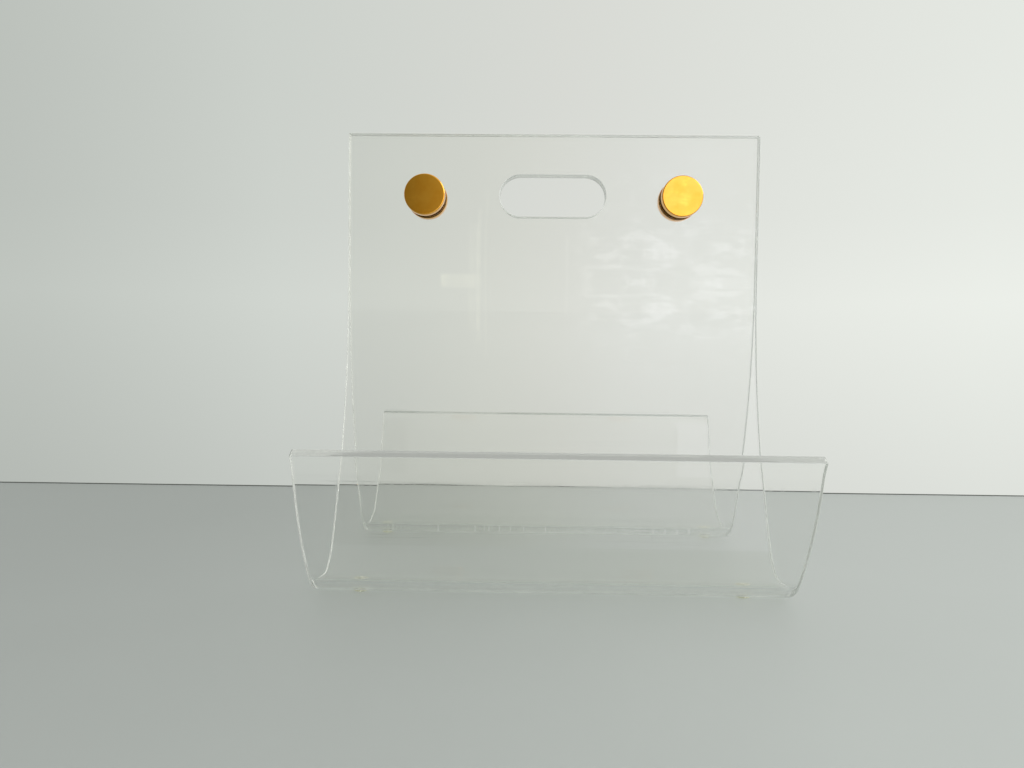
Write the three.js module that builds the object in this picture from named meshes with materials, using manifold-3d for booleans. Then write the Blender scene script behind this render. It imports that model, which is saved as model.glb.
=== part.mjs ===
// Magazine rack: two bent sheets of clear acrylic, held back to back by a pair of brass fasteners.
//
// Frame: millimetres, +Z up, +X to the right and -Y to the front. The origin is on the floor, under
// the middle of the rack. Left and right mirror each other, and so do front and rear except for how
// far in their feet are.
import * as THREE from 'three';
import { mergeVertices } from 'three/addons/utils/BufferGeometryUtils.js';
import Module from 'manifold-3d';

const wasm = await Module();
wasm.setup();

// ---- Driving dimensions ------------------------------------------------------------------------
const WIDTH = 381; // side to side
const SHEET = 7.5; // thickness of each sheet
const UPRIGHT = 134.9; // flat panel, from the top edge down to where the flare starts
const FLARE_RADIUS = 502; // both bend radii are to the middle of the sheet's thickness
const FLARE_ANGLE = THREE.MathUtils.degToRad(27.8); // lean of the flare where it meets the trough
const TROUGH_RADIUS = 47;
const LIP_FOOT_LEAN = THREE.MathUtils.degToRad(36.4); // lean of the lip where it leaves the trough
const LIP_HEAD_LEAN = THREE.MathUtils.degToRad(16.3); // lean of the lip just below its rim
const LIP_LENGTH = 94;
const RIM_LEAN = THREE.MathUtils.degToRad(34); // the last of the lip curls out to this lean
const RIM_LENGTH = 18;

const SLOT_LENGTH = 98.5; // hand slot, end to end
const SLOT_HEIGHT = 38.5;
const SLOT_DROP = 56.4; // from the top edge to the middle of the slot
const FIXING_DROP = 57.6; // from the top edge to the middle of the fasteners
const FIXING_SPACING = 236.5; // between the two fasteners

const STUD_RADIUS = 3;
const STUD_CHAMFER = 0.5;
const STUD_GRIP = 5; // length of stud inside each cap
const STUD_HOLE_RADIUS = 3.5; // clearance hole through the sheets and washers
const CAP_RADIUS = 18.8;
const CAP_THICKNESS = 8;
const CAP_ROUNDING = 1; // rounded rim of the cap's face
const CAP_BORE_RADIUS = 3.3; // blind hole that takes the stud
const CAP_BORE_DEPTH = 6;
const WASHER_RADIUS = 17.5;
const WASHER_THICKNESS = 1;

const FOOT_RADIUS = 6;
const FOOT_HEIGHT = 2; // clearance under the sheets
const FOOT_ROUNDING = 1.2;
const FRONT_FOOT_INSET = 33.5; // from the rack's side to the middle of the foot
const REAR_FOOT_INSET = 20.5;

const GAP = 0.3; // clearance between neighbouring pieces
const WELD = 1e-4; // points closer than this are one point
const ARC_STEPS = 12; // curve setting for an outline: each arc gets twice as many facets
const FLARE_STEPS = 20;
const TROUGH_STEPS = 24;
const LIP_STEPS = 8;
const RIM_STEPS = 4;
const ROUNDING_STEPS = 4; // facets in a rounded rim

// ---- Places worked out from the dimensions -----------------------------------------------------
const TROUGH_OUTSIDE = TROUGH_RADIUS + SHEET / 2;
const BEND_DEPTH = TROUGH_RADIUS + (FLARE_RADIUS - TROUGH_RADIUS) * (1 - Math.cos(FLARE_ANGLE));
const SHEET_MIDDLE = (GAP + SHEET) / 2; // middle of an upright panel's thickness, from y = 0
const TROUGH_Y = SHEET_MIDDLE + BEND_DEPTH; // lowest line of a trough, from y = 0
const TROUGH_Z = FOOT_HEIGHT + TROUGH_OUTSIDE; // axis of the trough's bend
const FLARE_Z = TROUGH_Z + (FLARE_RADIUS - TROUGH_RADIUS) * Math.sin(FLARE_ANGLE);
const TOP_Z = FLARE_Z + UPRIGHT;
const FIXING_X = FIXING_SPACING / 2;
const FIXING_Z = TOP_Z - FIXING_DROP;
const SLOT_Z = TOP_Z - SLOT_DROP;
const WASHER_Y = SHEET_MIDDLE + SHEET / 2 + GAP;
const CAP_Y = WASHER_Y + WASHER_THICKNESS + GAP;
const STUD_END = CAP_Y + STUD_GRIP;

// ---- Materials ---------------------------------------------------------------------------------
const makeAcrylic = () => new THREE.MeshStandardMaterial({
  color: 0xeaf2ee,
  roughness: 0.03,
  metalness: 0,
  transparent: true,
  opacity: 0.35,
});
const makeBrass = () => new THREE.MeshStandardMaterial({ color: 0xd9a53a, roughness: 0.08, metalness: 1 });
const makeSteel = () => new THREE.MeshStandardMaterial({ color: 0xb4b8ba, roughness: 0.35, metalness: 1 });
const makeWasherPlastic = () => new THREE.MeshStandardMaterial({
  color: 0xeeeee6,
  roughness: 0.2,
  metalness: 0,
  transparent: true,
  opacity: 0.5,
});
const makeFootRubber = () => new THREE.MeshStandardMaterial({
  color: 0xe2e2c8,
  roughness: 0.25,
  metalness: 0,
  transparent: true,
  opacity: 0.6,
});

// ---- Solids ------------------------------------------------------------------------------------
function toSolid(geometry) {
  const bare = geometry.clone();
  bare.deleteAttribute('normal');
  bare.deleteAttribute('uv');
  const { attributes, index } = mergeVertices(bare, WELD);
  const vertProperties = new Float32Array(attributes.position.array);
  const triVerts = new Uint32Array(index.array);
  return new wasm.Manifold(new wasm.Mesh({ numProp: 3, vertProperties, triVerts }));
}

function toGeometry(solid) {
  const { vertProperties, triVerts } = solid.getMesh();
  const geometry = new THREE.BufferGeometry();
  geometry.setAttribute('position', new THREE.BufferAttribute(vertProperties, 3));
  geometry.setIndex(new THREE.BufferAttribute(triVerts, 1));
  return geometry;
}

// An outline swept along +Z over a length, and centred on z = 0.
function sweep(outline, length) {
  const options = { depth: length, bevelEnabled: false, curveSegments: ARC_STEPS };
  return new THREE.ExtrudeGeometry(outline, options).translate(0, 0, -length / 2);
}

// A closed profile of [radius, distance] points, turned about the Y axis.
function turn(profile, facets) {
  const points = profile.map(([radius, along]) => new THREE.Vector2(radius, along));
  return new THREE.LatheGeometry(points, facets);
}

// Points of a quarter round about [radius, along], starting at an angle in quarter turns.
function quarterRound(radius, along, rounding, startQuarter) {
  return Array.from({ length: ROUNDING_STEPS + 1 }, (_, step) => {
    const angle = (startQuarter + step / ROUNDING_STEPS) * (Math.PI / 2);
    return [radius + rounding * Math.cos(angle), along + rounding * Math.sin(angle)];
  });
}

// ---- Sheets ------------------------------------------------------------------------------------
// The front sheet from its top edge to its rim. Each run has a length along the middle of the
// thickness and a heading at its start and end: 0 is straight down, and a half turn is straight up.
function sheetRuns() {
  const lipFoot = Math.PI - LIP_FOOT_LEAN;
  const lipHead = Math.PI - LIP_HEAD_LEAN;
  const rimHeading = Math.PI - RIM_LEAN;
  const flareLength = FLARE_RADIUS * FLARE_ANGLE;
  const troughLength = TROUGH_RADIUS * (lipFoot - FLARE_ANGLE);
  return [
    { length: flareLength, from: 0, to: FLARE_ANGLE, steps: FLARE_STEPS },
    { length: troughLength, from: FLARE_ANGLE, to: lipFoot, steps: TROUGH_STEPS },
    { length: LIP_LENGTH, from: lipFoot, to: lipHead, steps: LIP_STEPS },
    { length: RIM_LENGTH, from: lipHead, to: rimHeading, steps: RIM_STEPS },
  ];
}

// Section of the front sheet, as (y, z): down its inner face and back up its outer face.
function sheetSection() {
  const across = (heading) => new THREE.Vector2(-Math.cos(heading), Math.sin(heading));
  const middle = [{ place: new THREE.Vector2(-SHEET_MIDDLE, TOP_Z), heading: 0 }];
  let place = new THREE.Vector2(-SHEET_MIDDLE, FLARE_Z);
  middle.push({ place, heading: 0 });
  for (const { length, from, to, steps } of sheetRuns()) {
    const radius = length / (to - from);
    const axis = place.clone().addScaledVector(across(from), radius);
    for (let step = 1; step <= steps; step += 1) {
      const heading = from + ((to - from) * step) / steps;
      place = axis.clone().addScaledVector(across(heading), -radius);
      middle.push({ place, heading });
    }
  }
  const face = (height) => middle.map(
    (station) => station.place.clone().addScaledVector(across(station.heading), height),
  );
  return new THREE.Shape([...face(SHEET / 2), ...face(-SHEET / 2).reverse()]);
}

function slotOutline() {
  const radius = SLOT_HEIGHT / 2;
  const endX = SLOT_LENGTH / 2 - radius;
  const outline = new THREE.Shape();
  outline.absarc(endX, 0, radius, -Math.PI / 2, Math.PI / 2, false);
  outline.absarc(-endX, 0, radius, Math.PI / 2, 1.5 * Math.PI, false);
  outline.closePath();
  return outline;
}

function studHoleOutline() {
  const outline = new THREE.Shape();
  outline.absarc(0, 0, STUD_HOLE_RADIUS, 0, 2 * Math.PI, false);
  return outline;
}

function makeSheet() {
  // The section's plane becomes YZ, and its sweep runs along X.
  const axes = new THREE.Matrix4().makeBasis(
    new THREE.Vector3(0, 1, 0),
    new THREE.Vector3(0, 0, 1),
    new THREE.Vector3(1, 0, 0),
  );
  const blank = toSolid(sweep(sheetSection(), WIDTH).applyMatrix4(axes));
  const openings = [
    { outline: slotOutline(), x: 0, z: SLOT_Z },
    { outline: studHoleOutline(), x: -FIXING_X, z: FIXING_Z },
    { outline: studHoleOutline(), x: FIXING_X, z: FIXING_Z },
  ];
  const cutSheet = openings.reduce((solid, { outline, x, z }) => {
    const cutter = sweep(outline, 4 * SHEET).rotateX(Math.PI / 2).translate(x, 0, z);
    return solid.subtract(toSolid(cutter));
  }, blank);
  return toGeometry(cutSheet);
}

// ---- Fasteners: a threaded stud through both sheets, with a cap and a washer at each end ---------
// A cap or washer has its back on y = 0 and its face towards +Y.
function makeCap() {
  const shoulder = CAP_THICKNESS - CAP_ROUNDING;
  return turn([
    [0, CAP_BORE_DEPTH],
    [CAP_BORE_RADIUS, CAP_BORE_DEPTH],
    [CAP_BORE_RADIUS, 0],
    [CAP_RADIUS, 0],
    ...quarterRound(CAP_RADIUS - CAP_ROUNDING, shoulder, CAP_ROUNDING, 0),
    [0, CAP_THICKNESS],
  ], 36);
}

function makeWasher() {
  return turn([
    [STUD_HOLE_RADIUS, 0],
    [WASHER_RADIUS, 0],
    [WASHER_RADIUS, WASHER_THICKNESS],
    [STUD_HOLE_RADIUS, WASHER_THICKNESS],
    [STUD_HOLE_RADIUS, 0],
  ], 36);
}

function makeStud() {
  const tip = STUD_RADIUS - STUD_CHAMFER;
  return turn([
    [0, -STUD_END],
    [tip, -STUD_END],
    [STUD_RADIUS, STUD_CHAMFER - STUD_END],
    [STUD_RADIUS, STUD_END - STUD_CHAMFER],
    [tip, STUD_END],
    [0, STUD_END],
  ], 24);
}

// ---- Feet --------------------------------------------------------------------------------------
// A round bumper standing on z = 0, with its top hollowed to follow the outside of the trough.
function makeFoot() {
  const blank = turn([
    [0, 0],
    ...quarterRound(FOOT_RADIUS - FOOT_ROUNDING, FOOT_ROUNDING, FOOT_ROUNDING, -1),
    [FOOT_RADIUS, 2 * FOOT_HEIGHT],
    [0, 2 * FOOT_HEIGHT],
  ], 24).rotateX(Math.PI / 2);
  const hollowRadius = TROUGH_OUTSIDE + GAP;
  const hollow = new THREE.CylinderGeometry(hollowRadius, hollowRadius, 4 * FOOT_RADIUS, 96)
    .rotateZ(Math.PI / 2)
    .translate(0, 0, TROUGH_Z);
  return toGeometry(toSolid(blank).subtract(toSolid(hollow)));
}

// ---- Assembly ----------------------------------------------------------------------------------
function addPart(parent, name, geometry, material, [x, y, z] = [0, 0, 0]) {
  const mesh = new THREE.Mesh(geometry, material);
  mesh.name = name;
  mesh.position.set(x, y, z);
  parent.add(mesh);
}

// One half of the rack, drawn with its trough to the front. The rear half is turned round, so its
// left-hand pieces are those on the other side.
function makeHalf(end, rightHand, footInset) {
  const half = new THREE.Group();
  addPart(half, `${end}_sheet`, makeSheet(), makeAcrylic());
  for (const side of [-1, 1]) {
    const label = side * rightHand > 0 ? 'right' : 'left';
    const fixing = new THREE.Group();
    fixing.position.set(side * FIXING_X, 0, FIXING_Z);
    fixing.rotation.z = Math.PI;
    addPart(fixing, `${end}_washer_${label}`, makeWasher(), makeWasherPlastic(), [0, WASHER_Y, 0]);
    addPart(fixing, `${end}_cap_${label}`, makeCap(), makeBrass(), [0, CAP_Y, 0]);
    half.add(fixing);
    const footPlace = [side * (WIDTH / 2 - footInset), -TROUGH_Y, 0];
    addPart(half, `${end}_foot_${label}`, makeFoot(), makeFootRubber(), footPlace);
  }
  return half;
}

const rack = new THREE.Group();
rack.add(makeHalf('front', 1, FRONT_FOOT_INSET));
const rearHalf = makeHalf('rear', -1, REAR_FOOT_INSET);
rearHalf.rotation.z = Math.PI;
rack.add(rearHalf);
addPart(rack, 'stud_left', makeStud(), makeSteel(), [-FIXING_X, 0, FIXING_Z]);
addPart(rack, 'stud_right', makeStud(), makeSteel(), [FIXING_X, 0, FIXING_Z]);

export default rack;
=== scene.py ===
"""Looks for the magazine rack: two bent sheets of clear acrylic, back to back, on four small feet, held
by brass caps on two threaded studs. Metres, +Z up, +X to the right and -Y to the front."""

import math

import bmesh
import bpy
from mathutils import Matrix, Vector
from mathutils.geometry import tessellate_polygon


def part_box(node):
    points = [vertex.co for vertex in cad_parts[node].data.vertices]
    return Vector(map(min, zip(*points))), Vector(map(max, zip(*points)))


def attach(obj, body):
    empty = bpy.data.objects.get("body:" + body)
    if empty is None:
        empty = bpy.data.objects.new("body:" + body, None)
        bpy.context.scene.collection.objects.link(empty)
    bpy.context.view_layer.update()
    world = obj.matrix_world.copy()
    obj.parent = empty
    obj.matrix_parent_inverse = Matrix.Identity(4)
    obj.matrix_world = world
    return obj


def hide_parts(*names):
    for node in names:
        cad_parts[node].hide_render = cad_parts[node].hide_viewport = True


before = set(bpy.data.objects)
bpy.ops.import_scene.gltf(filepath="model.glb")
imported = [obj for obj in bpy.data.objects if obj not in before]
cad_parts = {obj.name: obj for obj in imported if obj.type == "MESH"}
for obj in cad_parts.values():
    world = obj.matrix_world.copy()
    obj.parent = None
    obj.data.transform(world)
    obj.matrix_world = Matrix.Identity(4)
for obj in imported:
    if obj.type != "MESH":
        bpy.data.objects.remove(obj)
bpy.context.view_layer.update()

# ---- Sizes of the bent sheet that its box doesn't give ------------------------------------------
SHEET = 0.0075  # thickness
FLARE_RADIUS = 0.502  # both bend radii are to the middle of the thickness
FLARE_ANGLE = math.radians(27.8)  # lean of the flare where it meets the trough
TROUGH_RADIUS = 0.047
LIP_FOOT_LEAN = math.radians(36.4)  # lean of the lip where it leaves the trough
LIP_HEAD_LEAN = math.radians(16.3)  # lean of the lip just below its rim
LIP_LENGTH = 0.094
RIM_LEAN = math.radians(34)  # the last of the lip curls out to this lean
RIM_LENGTH = 0.018
SLOT_LENGTH = 0.0985
SLOT_HEIGHT = 0.0385
SLOT_DROP = 0.0564  # from the top edge to the middle of the slot
STUD_HOLE_RADIUS = 0.0035
CORNER_RADIUS = 0.0015  # of the sheet's four corners
ARRIS = 0.0005  # rounding along every cut edge
ARRIS_STEPS = 3
SHEET_SHARP_ANGLE = 10  # degrees: over a bend's steps and under an arris's, so that the faces stay true

# ---- Sizes of the fastenings and feet -----------------------------------------------------------
CAP_ROUNDING = 0.001  # rim of the cap's polished face
CAP_FACE_HOLD = 0.0001  # a narrow ring that keeps the face's shading flat up to its rim
CAP_BACK_CHAMFER = 0.0004
CAP_BORE_RADIUS = 0.0033
CAP_BORE_DEPTH = 0.006
WASHER_CHAMFER = 0.00015
THREAD_PITCH = 0.001
THREAD_DEPTH = 0.0006
STUD_CHAMFER = 0.0006
FOOT_ROUNDING = 0.0012
FOOT_GAP = 0.0003  # between a foot's hollow top and the trough
TURNED_STEPS = 128  # round a cap, washer or foot
STUD_STEPS = 32  # round a stud
STEPS_PER_PITCH = 8  # along a stud's thread
OUTLINE_STEPS = 16  # round a quarter of a cut outline
FOOT_TOP_RINGS = 8
SAME_POINT = 1e-7  # points of an outline that are nearer than this are one

# ---- Places, from the frame ---------------------------------------------------------------------
sheet_low, sheet_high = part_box("front_sheet")
WIDTH = sheet_high.x - sheet_low.x
TOP_Z = sheet_high.z
SHEET_Y = sheet_high.y - SHEET / 2  # middle of the upright panel's thickness
TROUGH_OUTSIDE = TROUGH_RADIUS + SHEET / 2
TROUGH_Z = sheet_low.z + TROUGH_OUTSIDE
FLARE_Z = TROUGH_Z + (FLARE_RADIUS - TROUGH_RADIUS) * math.sin(FLARE_ANGLE)

# The bends below the flat panel: each has a length, a heading at its start and its end (0 is straight
# down and a half turn is straight up) and a number of steps.
LIP_FOOT = math.pi - LIP_FOOT_LEAN
LIP_HEAD = math.pi - LIP_HEAD_LEAN
BENDS = (
    (FLARE_RADIUS * FLARE_ANGLE, 0, FLARE_ANGLE, 48),
    (TROUGH_RADIUS * (LIP_FOOT - FLARE_ANGLE), FLARE_ANGLE, LIP_FOOT, 72),
    (LIP_LENGTH, LIP_FOOT, LIP_HEAD, 24),
    (RIM_LENGTH, LIP_HEAD, math.pi - RIM_LEAN, 12),
)
FLARE_START = TOP_Z - FLARE_Z
SHEET_LENGTH = FLARE_START + sum(bend[0] for bend in BENDS)


def middle_of(node):
    low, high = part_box(node)
    return (low + high) / 2


# ---- Meshes -------------------------------------------------------------------------------------
def finish_mesh(name, bm, sharp_angle=20):
    """The bmesh as a mesh with its faces pointing out, smooth but for edges over the sharp angle."""
    bmesh.ops.recalc_face_normals(bm, faces=bm.faces)
    mesh = bpy.data.meshes.new(name)
    bm.to_mesh(mesh)
    bm.free()
    mesh.shade_smooth()
    mesh.set_sharp_from_angle(angle=math.radians(sharp_angle))
    return mesh


def rounded_outline(centre, half_width, half_height, radius):
    """Points (x, s) round a rectangle with round corners: with radius = half_height, a stadium."""
    points = []
    for quarter, (side, end) in enumerate(((1, 1), (-1, 1), (-1, -1), (1, -1))):
        corner_x = centre[0] + side * (half_width - radius)
        corner_s = centre[1] + end * (half_height - radius)
        for step in range(OUTLINE_STEPS + 1):
            angle = (quarter + step / OUTLINE_STEPS) * math.pi / 2
            point = (corner_x + radius * math.cos(angle), corner_s + radius * math.sin(angle))
            if not points or math.dist(point, points[-1]) > SAME_POINT:
                points.append(point)
    if math.dist(points[0], points[-1]) < SAME_POINT:
        points.pop()
    return points


def flat_blank():
    """The sheet before bending, as (x, s, h): s runs down from the top edge and h is the height over
    the middle of the thickness. Its faces have material 0, its cut edges and arrises material 1."""
    fixing_x = middle_of("front_cap_right").x
    fixing_s = TOP_Z - middle_of("front_cap_right").z
    # Each cut outline: middle, half width, half height, corner radius, and which way it grows
    # towards its arrises, 1 for a hole and -1 for the outside.
    cut_outlines = [
        ((0, SHEET_LENGTH / 2), WIDTH / 2, SHEET_LENGTH / 2, CORNER_RADIUS, -1),
        ((0, SLOT_DROP), SLOT_LENGTH / 2, SLOT_HEIGHT / 2, SLOT_HEIGHT / 2, 1),
        ((-fixing_x, fixing_s), STUD_HOLE_RADIUS, STUD_HOLE_RADIUS, STUD_HOLE_RADIUS, 1),
        ((fixing_x, fixing_s), STUD_HOLE_RADIUS, STUD_HOLE_RADIUS, STUD_HOLE_RADIUS, 1),
    ]
    rounding = []  # (how far back from the cut edge, height) up over one arris
    for step in range(ARRIS_STEPS + 1):
        angle = step / ARRIS_STEPS * math.pi / 2
        height = SHEET / 2 - ARRIS * (1 - math.sin(angle))
        rounding.append((ARRIS * (1 - math.cos(angle)), height))
    levels = [(back, -height) for back, height in reversed(rounding)] + rounding

    bm = bmesh.new()
    lower_loops = []
    upper_loops = []
    for centre, half_width, half_height, radius, grows in cut_outlines:
        loops = []
        for back, height in levels:
            change = grows * back
            outline = rounded_outline(
                centre, half_width + change, half_height + change, radius + change
            )
            loops.append([bm.verts.new((x, s, height)) for x, s in outline])
        for lower, upper in zip(loops, loops[1:]):
            for i in range(len(lower)):
                face = bm.faces.new((lower[i - 1], lower[i], upper[i], upper[i - 1]))
                face.material_index = 1
        lower_loops.append(loops[0])
        upper_loops.append(loops[-1])
    for loops in (lower_loops, upper_loops):
        corners = [vertex for loop in loops for vertex in loop]
        for triangle in tessellate_polygon([[vertex.co for vertex in loop] for loop in loops]):
            bm.faces.new([corners[i] for i in triangle])
    return bm


def outward(heading):
    """(y, z) of the direction square to the sheet at a heading, towards the underside of the trough."""
    return Vector((math.cos(heading), -math.sin(heading)))


def bend_point(distance, height):
    """(y, z) of a point of the bent front sheet."""
    place = Vector((SHEET_Y, TOP_Z - min(distance, FLARE_START)))
    heading = 0
    run = distance - FLARE_START
    for length, start, end, _steps in BENDS:
        if run <= 0:
            break
        heading = start + min(run / length, 1) * (end - start)
        place += length / (end - start) * (outward(heading) - outward(start))
        run -= length
    return place + height * outward(heading)


def sheet_mesh(name):
    """The blank, scored across at each step of the bends and then bent."""
    bm = flat_blank()
    stations = [FLARE_START]
    for length, _start, _end, steps in BENDS:
        stations += [stations[-1] + length / steps * (step + 1) for step in range(steps)]
    for station in stations[:-1]:
        everything = bm.verts[:] + bm.edges[:] + bm.faces[:]
        bmesh.ops.bisect_plane(bm, geom=everything, plane_co=(0, station, 0), plane_no=(0, 1, 0))
    for vertex in bm.verts:
        x, distance, height = vertex.co
        y, z = bend_point(distance, height)
        vertex.co = (x, y, z)
    return finish_mesh(name, bm, SHEET_SHARP_ANGLE)


def join_rings(bm, one, other):
    """Faces between two rings of vertices, either of which may be a single point."""
    if len(one) == 1 and len(other) == 1:
        return
    for i in range(max(len(one), len(other))):
        if len(one) == 1:
            corners = (one[0], other[i], other[i - 1])
        elif len(other) == 1:
            corners = (one[i - 1], one[i], other[0])
        else:
            corners = (one[i - 1], one[i], other[i], other[i - 1])
        bm.faces.new(corners)


def turned_mesh(name, profile, sharp_angle=20):
    """A closed profile of (radius, distance) points turned about the Y axis."""
    bm = bmesh.new()
    rings = []
    for radius, along in profile:
        if radius == 0:
            rings.append([bm.verts.new((0, along, 0))])
            continue
        turns = [2 * math.pi * i / TURNED_STEPS for i in range(TURNED_STEPS)]
        rings.append([bm.verts.new((radius * math.cos(a), along, radius * math.sin(a))) for a in turns])
    for one, other in zip(rings, rings[1:] + rings[:1]):
        join_rings(bm, one, other)
    return finish_mesh(name, bm, sharp_angle)


def rounding_points(radius, along, size, start, steps=8):
    """Points of a quarter round about (radius, along), from an angle in quarter turns."""
    angles = [(start + i / steps) * math.pi / 2 for i in range(steps + 1)]
    return [(radius + size * math.cos(a), along + size * math.sin(a)) for a in angles]


def cap_mesh(name, radius, thickness):
    """A cap with its back on y = 0 and its polished face towards +Y."""
    return turned_mesh(name, [
        (0, CAP_BORE_DEPTH),
        (CAP_BORE_RADIUS, CAP_BORE_DEPTH),
        (CAP_BORE_RADIUS, CAP_BACK_CHAMFER),
        (CAP_BORE_RADIUS + CAP_BACK_CHAMFER, 0),
        (radius - CAP_BACK_CHAMFER, 0),
        (radius, CAP_BACK_CHAMFER),
        *rounding_points(radius - CAP_ROUNDING, thickness - CAP_ROUNDING, CAP_ROUNDING, 0, 14),
        (radius - CAP_ROUNDING - CAP_FACE_HOLD, thickness),
        (0, thickness),
    ])


def washer_mesh(name, radius, thickness):
    edge = WASHER_CHAMFER
    return turned_mesh(name, [
        (STUD_HOLE_RADIUS, edge),
        (STUD_HOLE_RADIUS + edge, 0),
        (radius - edge, 0),
        (radius, edge),
        (radius, thickness - edge),
        (radius - edge, thickness),
        (STUD_HOLE_RADIUS + edge, thickness),
        (STUD_HOLE_RADIUS, thickness - edge),
    ])


def stud_mesh(name, radius, length):
    """A stud along the Y axis, with a screw thread from end to end and chamfered tips."""
    rows = round(length / THREAD_PITCH * STEPS_PER_PITCH)
    bm = bmesh.new()
    rings = []
    for row in range(rows + 1):
        along = length * (row / rows - 0.5)
        tip_limit = radius - STUD_CHAMFER + (length / 2 - abs(along))
        ring = []
        for i in range(STUD_STEPS):
            phase = (row / STEPS_PER_PITCH + i / STUD_STEPS) % 1
            groove = THREAD_DEPTH * (1 - abs(2 * phase - 1))
            reach = min(radius - groove, tip_limit)
            angle = 2 * math.pi * i / STUD_STEPS
            ring.append(bm.verts.new((reach * math.cos(angle), along, reach * math.sin(angle))))
        rings.append(ring)
    for one, other in zip(rings, rings[1:]):
        join_rings(bm, one, other)
    join_rings(bm, [bm.verts.new((0, -length / 2, 0))], rings[0])
    join_rings(bm, rings[-1], [bm.verts.new((0, length / 2, 0))])
    return finish_mesh(name, bm, sharp_angle=50)


def foot_mesh(name, radius):
    """A bumper standing on z = 0 at the origin, with a hollow top that follows the trough."""
    hollow_radius = TROUGH_OUTSIDE + FOOT_GAP

    def hollow_z(y):
        return TROUGH_Z - math.sqrt(hollow_radius ** 2 - y ** 2)

    bm = bmesh.new()
    side = [(0.5 * (radius - FOOT_ROUNDING), 0)]
    side += rounding_points(radius - FOOT_ROUNDING, FOOT_ROUNDING, FOOT_ROUNDING, -1)
    top = [(radius * (FOOT_TOP_RINGS - i) / FOOT_TOP_RINGS, None) for i in range(FOOT_TOP_RINGS)]
    rings = [[bm.verts.new((0, 0, 0))]]
    for ring_radius, level in side + top:
        ring = []
        for i in range(TURNED_STEPS):
            angle = 2 * math.pi * i / TURNED_STEPS
            x = ring_radius * math.cos(angle)
            y = ring_radius * math.sin(angle)
            ring.append(bm.verts.new((x, y, hollow_z(y) if level is None else level)))
        rings.append(ring)
    rings.append([bm.verts.new((0, 0, hollow_z(0)))])
    for one, other in zip(rings, rings[1:]):
        join_rings(bm, one, other)
    return finish_mesh(name, bm, sharp_angle=35)


# ---- Materials ----------------------------------------------------------------------------------
class Shader:
    """A node tree under construction. values maps a socket's name to its number or colour."""

    def __init__(self, tree):
        self.tree = tree

    def node(self, kind, values=None, **settings):
        made = self.tree.nodes.new(kind)
        for key, value in settings.items():
            setattr(made, key, value)
        for key, value in (values or {}).items():
            made.inputs[key].default_value = value
        return made

    def link(self, output, socket):
        self.tree.links.new(output, socket)

    def object_place(self, scale=(1, 1, 1), turn=(0, 0, 0)):
        """The place on the object, in metres, scaled and turned."""
        place = self.node("ShaderNodeTexCoord")
        mapping = self.node("ShaderNodeMapping", {"Scale": scale, "Rotation": turn})
        self.link(place.outputs["Object"], mapping.inputs["Vector"])
        return mapping.outputs["Vector"]

    def noise(self, place, scale, detail=2.0, roughness=0.5):
        values = {"Scale": scale, "Detail": detail, "Roughness": roughness}
        noise = self.node("ShaderNodeTexNoise", values)
        self.link(place, noise.inputs["Vector"])
        return noise.outputs["Fac"]

    def spread(self, source, low, high, to_low, to_high, smooth=True):
        """source from low to high becomes a number from to_low to to_high."""
        values = {"From Min": low, "From Max": high, "To Min": to_low, "To Max": to_high}
        kind = "SMOOTHSTEP" if smooth else "LINEAR"
        spread = self.node("ShaderNodeMapRange", values, interpolation_type=kind)
        self.link(source, spread.inputs["Value"])
        return spread.outputs["Result"]

    def maths(self, operation, one, other):
        made = self.node("ShaderNodeMath", operation=operation)
        for socket, value in zip(made.inputs, (one, other)):
            if isinstance(value, (int, float)):
                socket.default_value = value
            else:
                self.link(value, socket)
        return made.outputs["Value"]

    # A Mix node has sockets of one name for each kind of data, so its colour sockets go by number.
    def two_colours(self, factor, one, other):
        mix = self.node("ShaderNodeMix", data_type="RGBA")
        self.link(factor, mix.inputs[0])
        mix.inputs[6].default_value = one
        mix.inputs[7].default_value = other
        return mix.outputs[2]

    def ramp(self, factor, tones):
        """A colour ramp through (position, colour) pairs."""
        ramp = self.node("ShaderNodeValToRGB")
        while len(ramp.color_ramp.elements) < len(tones):
            ramp.color_ramp.elements.new(0.5)
        for element, (position, tone) in zip(ramp.color_ramp.elements, tones):
            element.position = position
            element.color = (*tone, 1)
        self.link(factor, ramp.inputs["Fac"])
        return ramp.outputs["Color"]

    def bump(self, height, distance, strength=1.0, before=None):
        values = {"Strength": strength, "Distance": distance}
        bump = self.node("ShaderNodeBump", values)
        self.link(height, bump.inputs["Height"])
        if before is not None:
            self.link(before, bump.inputs["Normal"])
        return bump.outputs["Normal"]


def new_material(name, **values):
    """A material, its shader under construction and its Principled node. A value's name is that of
    the node's socket, in lower case and with underscores."""
    material = bpy.data.materials.new(name)
    material.use_nodes = True
    shader = Shader(material.node_tree)
    principled = material.node_tree.nodes["Principled BSDF"]
    for key, value in values.items():
        principled.inputs[key.replace("_", " ").title().replace("Ior", "IOR")].default_value = value
    return material, shader, principled


def let_light_through(shader, principled, tint):
    """Lamps and soft light pass the clear plastic straight on, as they do through a thin sheet."""
    output = shader.tree.nodes["Material Output"]
    shown = principled.outputs["BSDF"]
    for ray in ("Is Shadow Ray", "Is Diffuse Ray"):
        path = shader.node("ShaderNodeLightPath")
        clear = shader.node("ShaderNodeBsdfTransparent", {"Color": tint})
        mix = shader.node("ShaderNodeMixShader")
        shader.link(path.outputs[ray], mix.inputs["Fac"])
        shader.link(shown, mix.inputs[1])
        shader.link(clear.outputs["BSDF"], mix.inputs[2])
        shown = mix.outputs["Shader"]
    shader.link(shown, output.inputs["Surface"])


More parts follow.
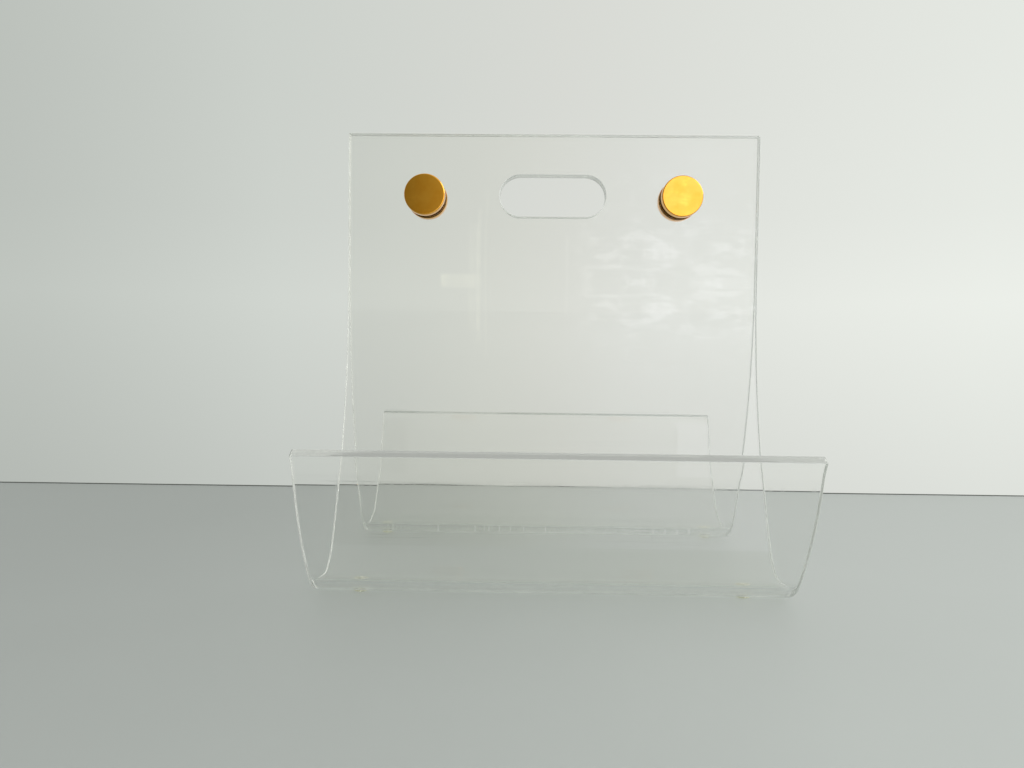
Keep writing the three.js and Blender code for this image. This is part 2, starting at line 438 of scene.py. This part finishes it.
def acrylic_body():
    """Clear cast acrylic: slow waves from heat bending, hairline scratches and faint finger smears."""
    material, shader, principled = new_material("acrylic_body", transmission_weight=1, ior=1.49)
    place = shader.object_place()
    waves = shader.noise(place, 11, 1)
    lines_a = shader.noise(shader.object_place((9, 9, 900), (0.5, 0.3, 0.2)), 1, 0)
    lines_b = shader.noise(shader.object_place((900, 8, 8), (0.1, 0.7, -0.6)), 1, 0)
    scratches = shader.maths(
        "ADD",
        shader.spread(lines_a, 0.73, 0.76, 0, 1),
        shader.spread(lines_b, 0.74, 0.77, 0, 1),
    )
    smears = shader.spread(shader.noise(place, 26, 4, 0.6), 0.5, 0.8, 0, 0.035)
    roughness = shader.maths("ADD", smears, shader.maths("MULTIPLY", scratches, 0.10))
    shader.link(roughness, principled.inputs["Roughness"])
    tone = shader.spread(shader.noise(place, 5, 2), 0.3, 0.7, 0, 1)
    colour = shader.two_colours(tone, (0.970, 0.971, 0.962, 1), (0.981, 0.982, 0.973, 1))
    shader.link(colour, principled.inputs["Base Color"])
    wavy = shader.bump(waves, 0.00012)
    shader.link(shader.bump(scratches, 0.00001, 0.4, wavy), principled.inputs["Normal"])
    let_light_through(shader, principled, (0.97, 0.976, 0.966, 1))
    return material


def acrylic_edge():
    """A polished cut edge: clear, with fine sanding marks left under the polish and a faint bloom."""
    material, shader, principled = new_material("acrylic_edge", transmission_weight=0.55, ior=1.49)
    marks = shader.noise(shader.object_place((300, 300, 1600), (0.2, 0.1, 0)), 1, 2)
    cloud = shader.noise(shader.object_place(), 60, 3)
    shader.link(shader.spread(cloud, 0.3, 0.7, 0.10, 0.22), principled.inputs["Roughness"])
    colour = shader.two_colours(
        shader.spread(marks, 0.3, 0.7, 0, 1), (0.94, 0.95, 0.93, 1), (0.98, 0.985, 0.97, 1)
    )
    shader.link(colour, principled.inputs["Base Color"])
    shader.link(shader.bump(marks, 0.00001, 0.3), principled.inputs["Normal"])
    let_light_through(shader, principled, (0.90, 0.91, 0.89, 1))
    return material


def polished_brass():
    """Mirror-polished brass: faint turning marks round the middle, wipe marks and warm tarnish."""
    material, shader, principled = new_material("polished_brass", metallic=1)
    place = shader.object_place()
    apart = shader.node("ShaderNodeSeparateXYZ")
    shader.link(place, apart.inputs["Vector"])
    flat = shader.node("ShaderNodeCombineXYZ")
    shader.link(apart.outputs["X"], flat.inputs["X"])
    shader.link(apart.outputs["Z"], flat.inputs["Y"])
    reach = shader.node("ShaderNodeVectorMath", operation="LENGTH")
    shader.link(flat.outputs["Vector"], reach.inputs[0])
    ring_place = shader.node("ShaderNodeCombineXYZ")
    shader.link(reach.outputs["Value"], ring_place.inputs["X"])
    rings = shader.noise(ring_place.outputs["Vector"], 4000, 1)
    wipes = shader.noise(shader.object_place((60, 60, 500), (0, 0.6, 0)), 1, 3)
    tarnish = shader.noise(place, 70, 3, 0.6)
    smear = shader.spread(wipes, 0.45, 0.8, 0.03, 0.13)
    dulled = shader.spread(tarnish, 0.5, 0.8, 0, 0.06)
    shader.link(shader.maths("ADD", smear, dulled), principled.inputs["Roughness"])
    colour = shader.two_colours(
        shader.spread(tarnish, 0.35, 0.75, 0, 1), (0.96, 0.48, 0.075, 1), (0.91, 0.42, 0.05, 1)
    )
    shader.link(colour, principled.inputs["Base Color"])
    turned = shader.bump(rings, 0.0000012, 0.5)
    shader.link(shader.bump(tarnish, 0.00002, 0.5, turned), principled.inputs["Normal"])
    return material


def stud_steel():
    """Zinc-plated steel, with a mottled grey bloom."""
    material, shader, principled = new_material("stud_steel", metallic=1)
    bloom = shader.noise(shader.object_place(), 420, 4, 0.6)
    colour = shader.two_colours(
        shader.spread(bloom, 0.3, 0.7, 0, 1), (0.42, 0.43, 0.44, 1), (0.62, 0.63, 0.64, 1)
    )
    shader.link(colour, principled.inputs["Base Color"])
    shader.link(shader.spread(bloom, 0.3, 0.7, 0.25, 0.45), principled.inputs["Roughness"])
    shader.link(shader.bump(bloom, 0.00003, 0.4), principled.inputs["Normal"])
    return material


def washer_plastic():
    """Thin clear plastic, slightly hazy."""
    material, shader, principled = new_material("washer_plastic", transmission_weight=1, ior=1.5)
    haze = shader.noise(shader.object_place(), 300, 3)
    shader.link(shader.spread(haze, 0.3, 0.7, 0.04, 0.14), principled.inputs["Roughness"])
    colour = shader.two_colours(haze, (0.95, 0.95, 0.93, 1), (0.98, 0.98, 0.96, 1))
    shader.link(colour, principled.inputs["Base Color"])
    shader.link(shader.bump(haze, 0.00001, 0.4), principled.inputs["Normal"])
    let_light_through(shader, principled, (0.96, 0.96, 0.94, 1))
    return material


def foot_rubber():
    """Soft clear polyurethane, yellowed a little with age, its roughness uneven in patches all over."""
    material, shader, principled = new_material("foot_rubber", transmission_weight=0.5, ior=1.48)
    place = shader.object_place()
    age = shader.noise(place, 350, 3)
    colour = shader.two_colours(
        shader.spread(age, 0.3, 0.7, 0, 1), (0.88, 0.87, 0.70, 1), (0.94, 0.93, 0.80, 1)
    )
    shader.link(colour, principled.inputs["Base Color"])
    shader.link(shader.spread(age, 0.35, 0.7, 0.18, 0.34), principled.inputs["Roughness"])
    shader.link(shader.bump(age, 0.00005, 0.4), principled.inputs["Normal"])
    let_light_through(shader, principled, (0.94, 0.93, 0.88, 1))
    return material


# ---- Pieces -------------------------------------------------------------------------------------
def add_piece(name, mesh, materials, node, place=(0, 0, 0), half_turn=False):
    piece = bpy.data.objects.new(name, mesh)
    bpy.context.scene.collection.objects.link(piece)
    for material in materials:
        if material.name not in mesh.materials:
            mesh.materials.append(material)
    turn = Matrix.Rotation(math.pi, 4, "Z") if half_turn else Matrix.Identity(4)
    piece.matrix_world = Matrix.Translation(place) @ turn
    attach(piece, "root")
    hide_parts(node)


def add_sheets():
    mesh = sheet_mesh("bent_sheet")
    materials = [acrylic_body(), acrylic_edge()]
    add_piece("bent_sheet_front", mesh, materials, "front_sheet")
    add_piece("bent_sheet_rear", mesh, materials, "rear_sheet", half_turn=True)


def add_fixings():
    """Caps and washers, with their backs towards the acrylic, and the studs between them."""
    cap_low, cap_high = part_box("rear_cap_left")
    washer_low, washer_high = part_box("rear_washer_left")
    stud_low, stud_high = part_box("stud_left")
    cap = cap_mesh("cap", (cap_high.x - cap_low.x) / 2, cap_high.y - cap_low.y)
    washer = washer_mesh("washer", (washer_high.x - washer_low.x) / 2, washer_high.y - washer_low.y)
    stud = stud_mesh("stud", (stud_high.x - stud_low.x) / 2, stud_high.y - stud_low.y)
    brass = polished_brass()
    plastic = washer_plastic()
    steel = stud_steel()
    for side in ("left", "right"):
        for end in ("front", "rear"):
            for kind, mesh, material, slot in (
                ("cap", cap, brass, "polished_brass"),
                ("washer", washer, plastic, "washer_plastic"),
            ):
                node = f"{end}_{kind}_{side}"
                low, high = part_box(node)
                back = high.y if end == "front" else low.y
                place = ((low.x + high.x) / 2, back, (low.z + high.z) / 2)
                name = f"turned_{kind}_{end}_{side}"
                add_piece(name, mesh, [material], node, place, end == "front")
        node = f"stud_{side}"
        add_piece(f"threaded_{node}", stud, [steel], node, middle_of(node))


def add_feet():
    foot_low, foot_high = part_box("front_foot_left")
    mesh = foot_mesh("foot", (foot_high.x - foot_low.x) / 2)
    rubber = foot_rubber()
    for end in ("front", "rear"):
        for side in ("left", "right"):
            node = f"{end}_foot_{side}"
            middle = middle_of(node)
            place = (middle.x, middle.y, foot_low.z)
            add_piece(f"bumper_{end}_{side}", mesh, [rubber], node, place)


# ---- Studio -------------------------------------------------------------------------------------
TABLE_BACK = Vector((0, 0.388, 0))  # a point on the table's back edge
TABLE_TURN = math.radians(0.5)
TABLE_SIZE = Vector((5.0, 4.0, 0.03))
TABLE_ROUNDING = 0.0005
# Ends of the table's colour: the lighter right end is painted light, the darker left end painted shade.
TABLE_PAINTED_SHADE_TONE = (0.448, 0.467, 0.464, 1)
TABLE_PAINTED_LIGHT_TONE = (0.560, 0.584, 0.580, 1)
PAINTED_SHADOW_HEIGHT = 0.0012  # painted shadow: a dark line where the table meets what is behind it
PAINTED_SHADOW_DEPTH = 0.002


def add_slab(name, size, middle, material):
    """A long slab with slightly rounded edges, set square to the table's back edge."""
    bm = bmesh.new()
    bmesh.ops.create_cube(bm, size=1)
    bmesh.ops.scale(bm, vec=size, verts=bm.verts)
    bmesh.ops.translate(bm, vec=middle, verts=bm.verts)
    rounding = min(TABLE_ROUNDING, size[2] / 4)
    bmesh.ops.bevel(bm, geom=bm.edges[:], offset=rounding, segments=3, profile=0.5, affect="EDGES")
    mesh = finish_mesh(name, bm)
    slab = bpy.data.objects.new(name, mesh)
    bpy.context.scene.collection.objects.link(slab)
    slab.matrix_world = Matrix.Translation(TABLE_BACK) @ Matrix.Rotation(TABLE_TURN, 4, "Z")
    mesh.materials.append(material)


def add_table():
    """A pale grey table top with painted light, its colour lighter to the right as the lamps fall on
    it, and a painted shadow: the dark line along its back edge.
    """
    material, shader, principled = new_material("table_top", roughness=0.5, specular_ior_level=0.25)
    cloud = shader.noise(shader.object_place(), 3, 3)
    apart = shader.node("ShaderNodeSeparateXYZ")
    shader.link(shader.object_place(), apart.inputs["Vector"])
    # Painted light: the colour grows lighter from left to right, where the lamps are, with a cloudy
    # random tone on top.
    painted_light_rightward = shader.spread(apart.outputs["X"], -0.5, 0.3, 0, 1)
    shade = shader.maths("ADD", painted_light_rightward, shader.spread(cloud, 0.2, 0.8, -0.1, 0.1))
    colour = shader.two_colours(shade, TABLE_PAINTED_SHADE_TONE, TABLE_PAINTED_LIGHT_TONE)
    shader.link(colour, principled.inputs["Base Color"])
    add_slab("table", TABLE_SIZE, (0, -TABLE_SIZE.y / 2, -TABLE_SIZE.z / 2), material)
    # Painted shadow: a dark strip along the table's back edge stands for the shade in the gap behind
    # it.
    dark, _shader, _principled = new_material("painted_shadow_line", base_color=(0.10, 0.11, 0.10, 1), roughness=0.9)
    painted_shadow_size = (TABLE_SIZE.x, PAINTED_SHADOW_DEPTH, PAINTED_SHADOW_HEIGHT)
    add_slab("table_painted_shadow_line", painted_shadow_size, (0, PAINTED_SHADOW_DEPTH / 2, PAINTED_SHADOW_HEIGHT / 2), dark)


# Tones of the light from all round, each as (position, colour) from one end of an axis to the other.
ROOM_TONES_ACROSS = (
    (0.0, (0.385, 0.412, 0.380)),
    (0.235, (0.535, 0.567, 0.530)),
    (0.35, (0.639, 0.672, 0.631)),
    (0.52, (0.728, 0.743, 0.701)),
    (0.745, (0.835, 0.862, 0.813)),
    (1.0, (0.88, 0.90, 0.86)),
)
ROOM_TONES_UPWARD = (
    (0.0, (0.85, 0.85, 0.85)),
    (0.415, (0.86, 0.86, 0.86)),
    (0.53, (1.0, 1.0, 1.0)),
    (0.58, (0.955, 0.955, 0.955)),
    (0.65, (0.94, 0.94, 0.94)),
    (1.0, (0.94, 0.94, 0.94)),
)


def add_room():
    """Soft light from all round, darker to the left and brighter to the right."""
    world = bpy.data.worlds.new("studio")
    bpy.context.scene.world = world
    world.use_nodes = True
    shader = Shader(world.node_tree)
    direction = shader.node("ShaderNodeTexCoord")
    apart = shader.node("ShaderNodeSeparateXYZ")
    shader.link(direction.outputs["Generated"], apart.inputs["Vector"])
    shades = []
    for axis, tones in (("X", ROOM_TONES_ACROSS), ("Z", ROOM_TONES_UPWARD)):
        place = shader.spread(apart.outputs[axis], -1, 1, 0, 1, smooth=False)
        shades.append(shader.ramp(place, tones))
    blend = shader.node("ShaderNodeMix", data_type="RGBA", blend_type="MULTIPLY")
    blend.inputs[0].default_value = 1
    shader.link(shades[0], blend.inputs[6])
    shader.link(shades[1], blend.inputs[7])
    background = world.node_tree.nodes["Background"]
    shader.link(blend.outputs[2], background.inputs["Color"])


def add_lamp(name, place, aim, width, height, radiance, colour=(1, 1, 1), in_glass=True):
    """A soft box of even brightness, unseen by the camera. Its power follows from its area."""
    light = bpy.data.lights.new(name, "AREA")
    light.shape = "RECTANGLE"
    light.size = width
    light.size_y = height
    light.energy = radiance * math.pi * width * height
    light.color = colour
    lamp = bpy.data.objects.new(name, light)
    bpy.context.scene.collection.objects.link(lamp)
    lamp.location = place
    lamp.rotation_euler = (Vector(aim) - Vector(place)).to_track_quat("-Z", "Y").to_euler()
    lamp.visible_camera = False
    lamp.visible_transmission = False
    lamp.visible_glossy = in_glass


def add_lights():
    rack_middle = (0, 0, TOP_Z / 2)
    add_lamp(
        "key", (1.8, -0.9, 1.55), rack_middle, width=1.4, height=1.4, radiance=3.0,
        colour=(1.0, 0.99, 0.96),
    )
    add_lamp(
        "window", (0.7, -1.6, 0.65), (0.7, 0, 0.65), width=1.0, height=0.85, radiance=1.6,
        in_glass=False,
    )


def soft_box(shader, across, up, middle, half, softness):
    """1 inside a rectangle of the card, falling away to 0 over the softness round it."""
    sides = []
    for axis, centre, reach in zip((across, up), middle, half):
        apart = shader.maths("ABSOLUTE", shader.maths("SUBTRACT", axis, centre), 0)
        sides.append(shader.spread(apart, reach, reach + softness, 1, 0))
    return shader.maths("MULTIPLY", *sides)


REFLECTED_ROOM_PLACE = Vector((0.3, -1.75, 0.8))
REFLECTED_ROOM_HALF_SIZE = (1.8, 1.2, 1)
# Lit shapes in the reflected room: (middle, half size, softness, strength), with (x, z) places.
LIT_SHAPES = (
    ((-0.232, 0.430), (0.056, 0.008), 0.014, 1.7),
    ((-0.192, 0.515), (0.012, 0.080), 0.010, 0.5),
    ((-0.177, 0.545), (0.004, 0.095), 0.005, 0.7),
    ((-0.155, 0.560), (0.002, 0.140), 0.004, 0.4),
    ((0.0965, 0.490), (0.002, 0.070), 0.004, 0.5),
    ((0.409, 0.526), (0.076, 0.045), 0.006, 0.5),
    ((0.245, 0.473), (0.086, 0.004), 0.005, 0.9),
    ((0.590, 0.435), (0.110, 0.008), 0.005, 0.8),
)


def reflected_light(shader):
    """Sockets for the brightness and colour of the reflected room: dark and warm to the left, with a
    window to the right, and in it leaves and bright twigs."""
    place = shader.object_place()
    apart = shader.node("ShaderNodeSeparateXYZ")
    shader.link(place, apart.inputs["Vector"])
    across = shader.maths("ADD", apart.outputs["X"], REFLECTED_ROOM_PLACE.x)
    up = shader.maths("ADD", apart.outputs["Z"], REFLECTED_ROOM_PLACE.z)
    glow = shader.spread(across, -0.6, 0.55, 0.10, 1.74)
    leaves = shader.noise(shader.object_place((1, 1, 2.4), (0, 0.35, 0)), 10, 6, 0.75)
    twigs = shader.noise(shader.object_place((1, 1, 1.6), (0, -0.5, 0)), 6, 2, 0.6)
    twig = shader.maths("ABSOLUTE", shader.maths("SUBTRACT", twigs, 0.5), 0)
    window = soft_box(shader, across, up, (0.46, 0.45), (0.25, 0.09), 0.12)
    garden = soft_box(shader, across, up, (0.48, 0.58), (0.26, 0.16), 0.10)
    light = shader.maths("MULTIPLY", window, shader.spread(leaves, 0.49, 0.58, 0, 1.5))
    bright_twigs = shader.maths("MULTIPLY", garden, shader.spread(twig, 0.004, 0.02, 0.5, 0))
    light = shader.maths("ADD", light, bright_twigs)
    dappled = shader.spread(leaves, 0.40, 0.60, 0.60, 1.25)
    for middle, half, softness, strength in LIT_SHAPES:
        lit = soft_box(shader, across, up, middle, half, softness)
        lit = shader.maths("MULTIPLY", shader.maths("MULTIPLY", lit, strength), dappled)
        light = shader.maths("ADD", light, lit)
    colour = shader.two_colours(
        shader.spread(across, -0.5, 0.4, 0, 1), (1, 0.97, 0.55, 1), (0.92, 0.91, 1, 1)
    )
    return shader.maths("ADD", glow, light), colour


def add_reflected_room():
    """A glowing card behind the camera, seen only in shiny faces."""
    bm = bmesh.new()
    bmesh.ops.create_grid(bm, x_segments=1, y_segments=1, size=1)
    bmesh.ops.scale(bm, vec=REFLECTED_ROOM_HALF_SIZE, verts=bm.verts)
    bmesh.ops.rotate(bm, matrix=Matrix.Rotation(math.pi / 2, 3, "X"), verts=bm.verts)
    mesh = finish_mesh("reflected_room", bm)
    card = bpy.data.objects.new("reflected_room", mesh)
    bpy.context.scene.collection.objects.link(card)
    card.location = REFLECTED_ROOM_PLACE
    material, shader, _principled = new_material("reflected_room")
    strength, colour = reflected_light(shader)
    emission = shader.node("ShaderNodeEmission")
    shader.link(strength, emission.inputs["Strength"])
    shader.link(colour, emission.inputs["Color"])
    output = shader.tree.nodes["Material Output"]
    shader.link(emission.outputs["Emission"], output.inputs["Surface"])
    mesh.materials.append(material)
    card.visible_camera = False
    card.visible_transmission = False
    card.visible_diffuse = False
    card.visible_shadow = False


SENSOR_WIDTH = 36  # millimetres, as is the lens
LENS = 27.98
CAMERA_PLACE = (-0.02166, -0.75254, 0.19826)
CAMERA_YAW = 0.0191  # radians, from looking level along +Y
CAMERA_PITCH = -0.0403
CAMERA_ROLL = -0.0118


def add_camera():
    data = bpy.data.cameras.new("camera")
    data.sensor_width = SENSOR_WIDTH
    data.lens = LENS
    camera = bpy.data.objects.new("camera", data)
    bpy.context.scene.collection.objects.link(camera)
    yaw = Matrix.Rotation(CAMERA_YAW, 4, "Z")
    pitch = Matrix.Rotation(CAMERA_PITCH, 4, "X")
    roll = Matrix.Rotation(CAMERA_ROLL, 4, "Y")
    level = Matrix.Rotation(math.pi / 2, 4, "X")
    place = Matrix.Translation(CAMERA_PLACE)
    camera.matrix_world = place @ yaw @ pitch @ roll @ level
    bpy.context.scene.camera = camera


def set_light_paths():
    """Enough bounces to see through every wall of acrylic in a line, and tones shown as they are."""
    cycles = bpy.context.scene.cycles
    cycles.max_bounces = 24
    cycles.transmission_bounces = 24
    cycles.glossy_bounces = 12
    cycles.diffuse_bounces = 4
    cycles.transparent_max_bounces = 48
    bpy.context.scene.view_settings.view_transform = "Standard"


add_camera()
add_sheets()
add_fixings()
add_feet()
add_table()
add_room()
add_lights()
add_reflected_room()
set_light_paths()
